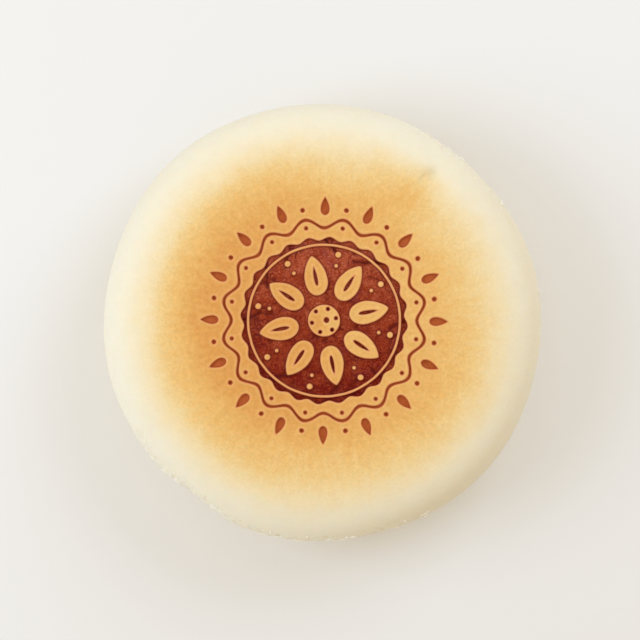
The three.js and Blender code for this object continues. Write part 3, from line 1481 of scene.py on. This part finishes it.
@dataclass(frozen=True)
class BakedFinish:
    """Finish of the skin: a golden crown, a cream shoulder and side, and the burnt mark."""

    bake: tuple[Stop, ...] = (
        Stop(0.00, (246, 241, 221)),
        Stop(0.13, (246, 235, 205)),
        Stop(0.30, (246, 226, 182)),
        Stop(0.47, (243, 214, 156)),
        Stop(0.60, (241, 204, 136)),
        Stop(0.75, (238, 190, 114)),
        Stop(0.88, (231, 174, 96)),
        Stop(1.00, (225, 160, 84)),
    )
    browning: tuple[Level, ...] = (
        Level(0.00, 0.82),
        Level(0.40, 0.81),
        Level(0.50, 0.80),
        Level(0.56, 0.79),
        Level(0.62, 0.77),
        Level(0.66, 0.75),
        Level(0.705, 0.65),
        Level(0.75, 0.515),
        Level(0.785, 0.395),
        Level(0.825, 0.28),
        Level(0.862, 0.165),
        Level(0.91, 0.07),
        Level(0.96, 0.02),
        Level(1.00, 0.0),
    )
    hot_azimuth: float = 190.0
    hot_level: float = 0.2
    patches: tuple[Patch, ...] = (
        Patch(18.0, 30.0, 0.68, 0.12, -0.15),
        Patch(43.0, 9.0, 0.66, 0.12, -0.12),
        Patch(84.0, 16.0, 0.68, 0.12, -0.14),
        Patch(286.0, 34.0, 0.68, 0.12, -0.11),
        Patch(248.0, 44.0, 0.56, 0.07, -0.09),
        Patch(172.0, 30.0, 0.78, 0.05, -0.06),
        Patch(155.0, 20.0, 0.63, 0.04, 0.04),
        Patch(54.0, 14.0, 0.84, 0.045, -0.05),
        Patch(318.0, 26.0, 0.82, 0.05, 0.03),
        Patch(122.0, 30.0, 0.91, 0.07, 0.05),
    )
    tongue_azimuth: float = 55.5
    tongue_level: float = 0.13
    hot_run: Run = Run(-1.0, 1.0, kind=Fade.EVEN)
    hot_end: Run = Run(0.66, 0.52)  # shares of the radius
    tongue_start: Run = Run(0.58, 0.74)
    tongue_width: Run = Run(0.66, 0.86, 13.0, 2.2, Fade.EVEN)
    tongue_end: Run = Run(0.88, 0.82)
    # Tint multiplied in round this azimuth, on the shoulder turned from the windows: partly real browning,
    # partly painted shade of that side. It also deepens a little towards the rim all round.
    tan_and_shade_azimuth: float = 345.0
    tan_and_shade_run: Run = Run(0.1, 0.9, 0.0, 0.95)
    tan_and_shade_start: float = 0.84  # share of the radius
    edge_start: float = 0.9
    edge_tint: float = 0.3
    # colour of that tint of browning and painted shade
    tan: tuple[int, int, int] = (246, 239, 229)
    # painted shade of the nick's dimple and of its crease
    crease: tuple[int, int, int] = (214, 196, 150)
    torn: TornEdge = TornEdge()
    nick: Nick = Nick()
    side: tuple[int, int, int] = (246, 236, 206)
    side_deep: tuple[int, int, int] = (242, 224, 178)
    underside: tuple[int, int, int] = (226, 190, 130)
    underside_pale: tuple[int, int, int] = (237, 209, 157)
    torn_light: tuple[int, int, int] = (251, 246, 230)
    torn_deep: tuple[int, int, int] = (228, 213, 176)
    burnt: tuple[int, int, int] = (154, 54, 20)
    # lighter burnt colour, partly mottled burn and partly painted sheen of the glossy skin
    burnt_light_and_sheen: tuple[int, int, int] = (188, 90, 56)
    burnt_dark: tuple[int, int, int] = (120, 16, 0)
    burnt_plum: tuple[int, int, int] = (146, 56, 52)
    # painted highlight: pinkish glints of the glossy burnt skin
    burnt_painted_glint: tuple[int, int, int] = (206, 126, 108)
    stroke: tuple[int, int, int] = (194, 98, 46)
    stroke_edge: tuple[int, int, int] = (168, 72, 24)
    scorch: tuple[int, int, int] = (100, 12, 4)
    salmon: tuple[int, int, int] = (228, 150, 100)
    halo: tuple[int, int, int] = (244, 196, 122)
    radius: float = 90.0
    drift: tuple[Grain, ...] = (Grain(30.0, 1.0, 0.03), Grain(9.0, 2.0, 0.05))
    blotches: Grain = Grain(13.0, 2.0, 0.12)
    blotched: Run = Run(0.0, 0.6, 0.2, 1.0)  # follows the browning, as the next two do
    specked: Run = Run(0.1, 0.75, 0.15, 1.0)
    clouded: Run = Run(0.6, 0.2, 0.02, 0.05)
    streaks: Folds = Folds(28.0, 7.0)  # drawn out round the cake, and so wide in reach
    streak_level: float = 0.1
    specks: Grain = Grain(2.2, 0.0, 0.11)
    speckle: tuple[Grain, ...] = (Grain(1.4, 2.0, 0.21, 0.4), Grain(0.8, 1.0, 0.22))
    clouds: Grain = Grain(6.0, 2.0)
    torn_bits: Grain = Grain(1.7, 2.0, twist=0.3, roughness=0.6)
    torn_high: Run = Run(0.04, 0.18)
    torn_high_share: float = 0.7
    torn_low: Run = Run(-0.06, -0.2)
    torn_low_share: float = 0.6
    # shares of that painted shade in the dimple and in the crease
    dimple_shade_share: float = 0.4
    crease_shade_share: float = 0.5
    side_shown: Run = Run(42.0, 14.0)
    side_deepens: Run = Run(34.0, 1.0, 0.1, 0.8)
    base_shown: Run = Run(2.0, 0.2)
    side_clouds: tuple[Grain, ...] = (Grain(12.0, 3.0, 0.5), Grain(1.3, 2.0, 0.35))
    base_clouds: Spots = Spots(Grain(8.0, 3.0), -0.2, 0.26)
    halo_gaps: Run = Run(1.5, 0.4)
    halo_share: float = 0.35
    salmon_gaps: Run = Run(0.55, 0.1)
    salmon_share: float = 0.85
    burnt_gaps: Run = Run(0.06, -0.14)
    scorch_gaps: Run = Run(-0.7, -0.1)
    scorch_share: float = 0.7
    stroke_start: Run = Run(1.2, 2.2)  # beyond the radius of the seal
    burnt_clouds: Grain = Grain(5.0, 4.0, 0.9, 0.6)
    burnt_painted_light_lean: float = 130.0  # reach over which the burnt field grows one level lighter towards +Y: painted light on its side towards the windows
    burnt_specks: tuple[Grain, ...] = (Grain(0.8, 2.0, 0.85), Grain(0.45, 0.0, 0.6))
    burnt_lighter_and_sheen: Run = Run(0.0, 0.36)
    burnt_darker: Run = Run(0.0, -0.34)
    plums: Spots = Spots(Grain(8.0, 2.0), 0.04, 0.2)
    plum_share: float = 0.5
    # spots of painted highlight, and how strongly they show
    painted_glints: Spots = Spots(Grain(0.9, 1.0), 0.13, 0.24)
    painted_glint_share: float = 0.6
    crack_width: float = 0.8
    burnt_crease_share: float = 0.8
    split_share: float = 0.9
    roughness: float = 0.66
    burnt_gloss: float = 0.34
    uneven_gloss: Grain = Grain(2.0, 2.0, 0.1)
    velvet: Grain = Grain(0.9, 3.0, roughness=0.6)
    velvet_bump: Bump = Bump(0.35, 0.35)
    pores: Spots = Spots(Grain(1.4, 2.0), 0.12, 0.26)
    pits: Grain = Grain(0.6, 2.0)
    pitted: Run = Run(42.0, 30.0)
    pit_bump: Bump = Bump(0.5, 0.6)
    burnt_folds: Grain = Grain(1.7, 3.0, twist=2.0)
    fold_bump: Bump = Bump(0.8, 0.7)

    def build(self, mark: IronMark) -> bpy.types.Material:
        """Makes the material.

        Args:
            mark: sizes of the mark, to tell its seal from its thin outer strokes.

        Returns:
            The material.
        """
        sheet = MaterialSheet("baked_skin")
        place = sheet.place()
        x, y, z = sheet.split(place)
        reach = sheet.math("SQRT", x * x + y * y)
        skin = self.skin_colour(sheet, place, x, y, z, reach)
        gap = sheet.carried(SkinField.MARK_GAP)
        crack = sheet.carried(SkinField.CRACK_GAP)
        burnt = sheet.run(gap, self.burnt_gaps)
        marked = self.edge_colour(sheet, skin, gap)
        colour = sheet.mixed(burnt, marked, self.burnt_colour(sheet, place, y, reach, gap, crack, mark))
        sheet.feed(sheet.shader.inputs["Base Color"], colour)
        rough = self.roughness - burnt * self.burnt_gloss + sheet.grained(place, self.uneven_gloss)
        sheet.feed(sheet.shader.inputs["Roughness"], rough)
        sheet.feed(sheet.shader.inputs["Normal"], self.grain(sheet, place, z, burnt))
        self.soften(sheet)
        return sheet.material

    def soften(self, sheet: MaterialSheet) -> None:
        """Lets a little light into the crumb, and keeps the gloss low.

        Args:
            sheet: the material.
        """
        shader = sheet.shader.inputs
        shader["Subsurface Weight"].default_value = 0.18
        shader["Subsurface Radius"].default_value = (1.0, 0.55, 0.25)
        shader["Subsurface Scale"].default_value = 3.0 * MM
        shader["Specular IOR Level"].default_value = 0.1
        shader["Sheen Weight"].default_value = 0.03

    def skin_colour(self, sheet: MaterialSheet, place: Wire, x: Wire, y: Wire, z: Wire, reach: Wire) -> Wire:
        """Colour of the unmarked skin.

        Args:
            sheet: the material.
            place: object coordinates.
            x: first of them.
            y: second of them.
            z: third of them.
            reach: distance from the upright axis.

        Returns:
            The colour.
        """
        radius = self.radius * MM
        share = reach / radius + sheet.grained(place, *self.drift)
        browned = self.browned(sheet, x, y, share)
        turns = self.streaks.around
        around = sheet.joined(x / reach * turns, y / reach * turns, reach / (self.streaks.height * MM))
        uneven = sheet.grained(place, self.blotches) + sheet.noise(around, 1.0, 0.0) * self.streak_level
        close = sheet.run(browned, self.specked)
        specks = sheet.grained(place, self.specks) * close
        level = browned + uneven * sheet.run(browned, self.blotched) + specks
        clouds = sheet.grained(place, self.clouds) * sheet.run(browned, self.clouded)
        speckle = sheet.grained(place, *self.speckle) * close + clouds + 1.0
        mottled = sheet.mixed(1.0, sheet.ramp(level, self.bake), self.grey(sheet, speckle), "MULTIPLY")
        # Partly real browning and partly painted shade: the shoulder turned from the windows is tinted darker
        # and warmer, and the tint deepens a little towards the rim all round.
        tan_and_shade = sheet.run(toward(sheet, x, y, self.tan_and_shade_azimuth), self.tan_and_shade_run)
        edge = sheet.fade(reach, self.edge_start * radius, radius) * self.edge_tint
        tan_and_shade = tan_and_shade * sheet.fade(reach, self.tan_and_shade_start * radius, radius) + edge
        rim_tanned_and_shaded = sheet.mixed(tan_and_shade, mottled, linear(self.tan), "MULTIPLY")
        wall = sheet.run(z, self.side_shown, MM)
        sided = sheet.mixed(wall, rim_tanned_and_shaded, self.side_colour(sheet, place, z))
        torn = self.torn.amount(sheet, place)
        bits = sheet.grained(place, self.torn_bits)
        high = torn * sheet.run(bits, self.torn_high) * self.torn_high_share
        low = torn * sheet.run(bits, self.torn_low) * self.torn_low_share
        lighter = sheet.mixed(high, sided, seen(self.torn_light))
        ragged = sheet.mixed(low, lighter, seen(self.torn_deep))
        # Painted shade: the nick's dimple and its crease are darkened in the colour.
        dimple = self.nick.dimple(sheet, x, y) * self.dimple_shade_share
        nick = sheet.math("MAXIMUM", dimple, self.nick.crease(sheet, x, y) * self.crease_shade_share)
        nick_shaded = sheet.mixed(nick, ragged, seen(self.crease))
        base = sheet.spots(place, self.base_clouds)
        under = sheet.mixed(base, seen(self.underside), seen(self.underside_pale))
        return sheet.mixed(sheet.run(z, self.base_shown, MM), nick_shaded, under)

    def side_colour(self, sheet: MaterialSheet, place: Wire, z: Wire) -> Wire:
        """Colour of the side: pale custard, deeper towards the base and in soft clouds."""
        deep = sheet.run(z, self.side_deepens, MM) + sheet.grained(place, *self.side_clouds)
        return sheet.mixed(deep, seen(self.side), seen(self.side_deep))

    def browned(self, sheet: MaterialSheet, x: Wire, y: Wire, share: Wire) -> Wire:
        """How brown the skin is, from 0 at the cream shoulder to 1 at the darkest gold.

        Args:
            sheet: the material.
            x: first of the object coordinates.
            y: second of them.
            share: distance from the upright axis over the radius, with a little drift.

        Returns:
            The level.
        """
        level = sheet.curve(share, self.browning)
        hot = sheet.run(toward(sheet, x, y, self.hot_azimuth), self.hot_run)
        level = level + hot * sheet.run(share, self.hot_end) * self.hot_level
        for patch in self.patches:
            narrow = 1.0 - math.cos(math.radians(patch.spread))
            apart = (1.0 - toward(sheet, x, y, patch.azimuth)) / narrow
            band = sheet.bell(share - patch.reach, patch.width)
            level = level + sheet.math("EXPONENT", -apart) * band * patch.level
        return level + self.tongue(sheet, x, y) * self.tongue_level

    def tongue(self, sheet: MaterialSheet, x: Wire, y: Wire) -> Wire:
        """A tongue of browning that runs out to the dent in the edge and narrows there.

        Args:
            sheet: the material.
            x: first of the object coordinates.
            y: second of them.

        Returns:
            The share, from 0 to 1.
        """
        aim = polar(1.0, self.tongue_azimuth)
        along = (x * aim[0] + y * aim[1]) / (self.radius * MM)
        across = (y * aim[0] - x * aim[1]) / MM
        band = sheet.bell(across / sheet.run(along, self.tongue_width), 1.0)
        return band * sheet.run(along, self.tongue_start) * sheet.run(along, self.tongue_end)

    def grey(self, sheet: MaterialSheet, level: Wire) -> Wire:
        """A grey of a level, to multiply a colour by."""
        return sheet.joined(level, level, level)

    def edge_colour(self, sheet: MaterialSheet, skin: Wire, gap: Wire) -> Wire:
        """Skin beside the mark: a salmon edge, then a paler ring."""
        haloed = sheet.mixed(sheet.run(gap, self.halo_gaps) * self.halo_share, skin, seen(self.halo))
        return sheet.mixed(sheet.run(gap, self.salmon_gaps) * self.salmon_share, haloed, seen(self.salmon))

    def burnt_colour(self, sheet: MaterialSheet, place: Wire, y: Wire, reach: Wire, gap: Wire, crack: Wire,
                     mark: IronMark) -> Wire:
        """Colour inside the mark.

        Args:
            sheet: the material.
            place: object coordinates.
            y: second of them.
            reach: distance from the upright axis.
            gap: millimetres to the mark's outline, negative inside.
            crack: millimetres to the nearest crack.
            mark: sizes of the mark.

        Returns:
            The colour.
        """
        # Painted light: the field grows lighter towards +Y, the side towards the windows, and its lighter
        # patches are partly painted sheen and partly mottled burn.
        cloud_and_painted_light = sheet.grained(place, self.burnt_clouds) + y / (self.burnt_painted_light_lean * MM)
        level = cloud_and_painted_light + sheet.grained(place, *self.burnt_specks)
        light = sheet.run(level, self.burnt_lighter_and_sheen)
        dark = sheet.run(level, self.burnt_darker)
        plum = sheet.spots(place, self.plums) * self.plum_share
        # Painted highlights: pinkish glints, strongest where the field is lighter.
        painted_glint = sheet.spots(place, self.painted_glints) * light * self.painted_glint_share
        field = sheet.mixed(light, seen(self.burnt), seen(self.burnt_light_and_sheen))
        field = sheet.mixed(plum, field, seen(self.burnt_plum))
        field = sheet.mixed(dark, field, seen(self.burnt_dark))
        field = sheet.mixed(painted_glint, field, seen(self.burnt_painted_glint))
        beyond = self.stroke_start
        thin = sheet.fade(reach, (mark.seal_radius + beyond.start) * MM, (mark.seal_radius + beyond.end) * MM)
        field = sheet.mixed(thin, field, seen(self.stroke))
        edge = sheet.mixed(thin, seen(self.scorch), seen(self.stroke_edge))
        scorched = sheet.mixed(sheet.run(gap, self.scorch_gaps) * self.scorch_share, field, edge)
        creased = creases(sheet, place) * self.burnt_crease_share
        split = sheet.math("MAXIMUM", sheet.bell(crack, self.crack_width), creased)
        return sheet.mixed(split * (1.0 - thin) * self.split_share, scorched, seen(self.scorch))

    def grain(self, sheet: MaterialSheet, place: Wire, z: Wire, burnt: Wire) -> Wire:
        """Fine heights of the skin: velvet grain, pores on the side, and tight wrinkles where burnt.

        Args:
            sheet: the material.
            place: object coordinates.
            z: third of them.
            burnt: share by which the skin is burnt.

        Returns:
            The normal.
        """
        base = sheet.bumped(sheet.grained(place, self.velvet), self.velvet_bump)
        pits = sheet.grained(place, self.pits) - sheet.spots(place, self.pores)
        wall = sheet.bumped(pits * sheet.run(z, self.pitted, MM), self.pit_bump, base)
        folds = sheet.grained(place, self.burnt_folds) * burnt
        return sheet.bumped(folds, self.fold_bump, wall)


@dataclass(frozen=True)
class CrumbFinish:
    """Finish of the crumbs: pale cake, a little toasted here and there."""

    pale: tuple[int, int, int] = (255, 250, 236)
    tan: tuple[int, int, int] = (228, 204, 156)
    toasted: Spots = Spots(Grain(4.0, 2.0), 0.16, 0.3)
    grain: Grain = Grain(0.3, 2.0)
    bump: Bump = Bump(0.2, 0.5)

    def build(self) -> bpy.types.Material:
        """Makes the material.

        Returns:
            The material.
        """
        sheet = MaterialSheet("crumb")
        place = sheet.place()
        toasted = sheet.spots(place, self.toasted)
        sheet.feed(sheet.shader.inputs["Base Color"], sheet.mixed(toasted, seen(self.pale), seen(self.tan)))
        rough = sheet.bumped(sheet.grained(place, self.grain), self.bump)
        sheet.feed(sheet.shader.inputs["Normal"], rough)
        sheet.shader.inputs["Roughness"].default_value = 0.8
        sheet.shader.inputs["Specular IOR Level"].default_value = 0.1
        return sheet.material


@dataclass(frozen=True)
class Window:
    """A large soft lamp that stands for a window."""

    name: str
    azimuth: float
    power: float


@dataclass(frozen=True)
class Studio:
    """Pale floor, a warm sky, two cool windows, and a camera straight above the cake."""

    camera_height: float = 832.0
    widest_height: float = 31.8
    outline_radius: float = 90.5
    outline_pixels: float = 218.0
    picture_pixels: float = 640.0
    cake_pixel: tuple[float, float] = (322.5, 322.5)
    sensor: float = 36.0
    floor_colour: tuple[int, int, int] = (241, 239, 235)
    floor_half: float = 3000.0
    windows: tuple[Window, ...] = (Window("left_window", 180.0, 3.85), Window("back_window", 45.0, 3.2))
    window_elevation: float = 40.0
    window_distance: float = 900.0
    window_side: float = 550.0
    window_colour: tuple[int, int, int] = (205, 226, 255)
    sky_colour: tuple[int, int, int] = (255, 243, 223)
    sky_strength: float = 0.765

    def build(self) -> None:
        """Makes the floor, the lights and the camera."""
        self.floor()
        self.lights()
        self.camera()
        bpy.context.scene.view_settings.view_transform = "Standard"

    def floor(self) -> None:
        """A plain pale floor just under the cake."""
        half, drop = self.floor_half * MM, -0.05 * MM
        mesh = bpy.data.meshes.new("floor")
        mesh.from_pydata([(-half, -half, drop), (half, -half, drop), (half, half, drop), (-half, half, drop)],
                         [], [(0, 1, 2, 3)])
        floor = bpy.data.objects.new("floor", mesh)
        bpy.context.scene.collection.objects.link(floor)
        sheet = MaterialSheet("floor")
        sheet.shader.inputs["Base Color"].default_value = seen(self.floor_colour)
        sheet.shader.inputs["Roughness"].default_value = 0.9
        sheet.shader.inputs["Specular IOR Level"].default_value = 0.1
        mesh.materials.append(sheet.material)

    def lights(self) -> None:
        """An even sky, and the windows."""
        world = bpy.data.worlds.new("sky")
        world.use_nodes = True
        background = world.node_tree.nodes["Background"]
        background.inputs["Color"].default_value = linear(self.sky_colour)
        background.inputs["Strength"].default_value = self.sky_strength
        bpy.context.scene.world = world
        height = self.window_distance * MM * math.sin(math.radians(self.window_elevation))
        apart = self.window_distance * MM * math.cos(math.radians(self.window_elevation))
        for window in self.windows:
            lamp = bpy.data.lights.new(window.name, "AREA")
            lamp.energy = window.power
            lamp.color = linear(self.window_colour)[:3]
            lamp.size = self.window_side * MM
            stand = bpy.data.objects.new(window.name, lamp)
            stand.location = (*polar(apart, window.azimuth), height)
            stand.rotation_euler = (-stand.location).to_track_quat("-Z", "Y").to_euler()
            bpy.context.scene.collection.objects.link(stand)

    def camera(self) -> None:
        """A camera that looks straight down, and frames the cake as the picture does."""
        distance = self.camera_height - self.widest_height
        pixels_per_mm = self.outline_pixels / self.outline_radius
        data = bpy.data.cameras.new("camera")
        data.sensor_width = self.sensor
        data.lens = distance * pixels_per_mm * self.sensor / self.picture_pixels
        camera = bpy.data.objects.new("camera", data)
        middle = self.picture_pixels / 2
        aside = (middle - self.cake_pixel[0]) / pixels_per_mm
        ahead = (self.cake_pixel[1] - middle) / pixels_per_mm
        camera.location = (aside * MM, ahead * MM, self.camera_height * MM)
        bpy.context.scene.collection.objects.link(camera)
        bpy.context.scene.camera = camera


def main() -> None:
    """Builds the cake piece by piece and sets it in the studio."""
    logging.basicConfig(level=logging.INFO, format="%(message)s")
    Studio().build()
    LOG.info("studio: floor, lights and camera")
    form = CakeSkin()
    skin = form.build(BakedFinish().build(form.mark))
    LOG.info("%s: %d faces", skin.name, len(skin.data.polygons))
    crumbs = Crumbs().build(skin, CrumbFinish().build())
    LOG.info("%s: %d faces", crumbs.name, len(crumbs.data.polygons))


if __name__ == "__main__":
    main()
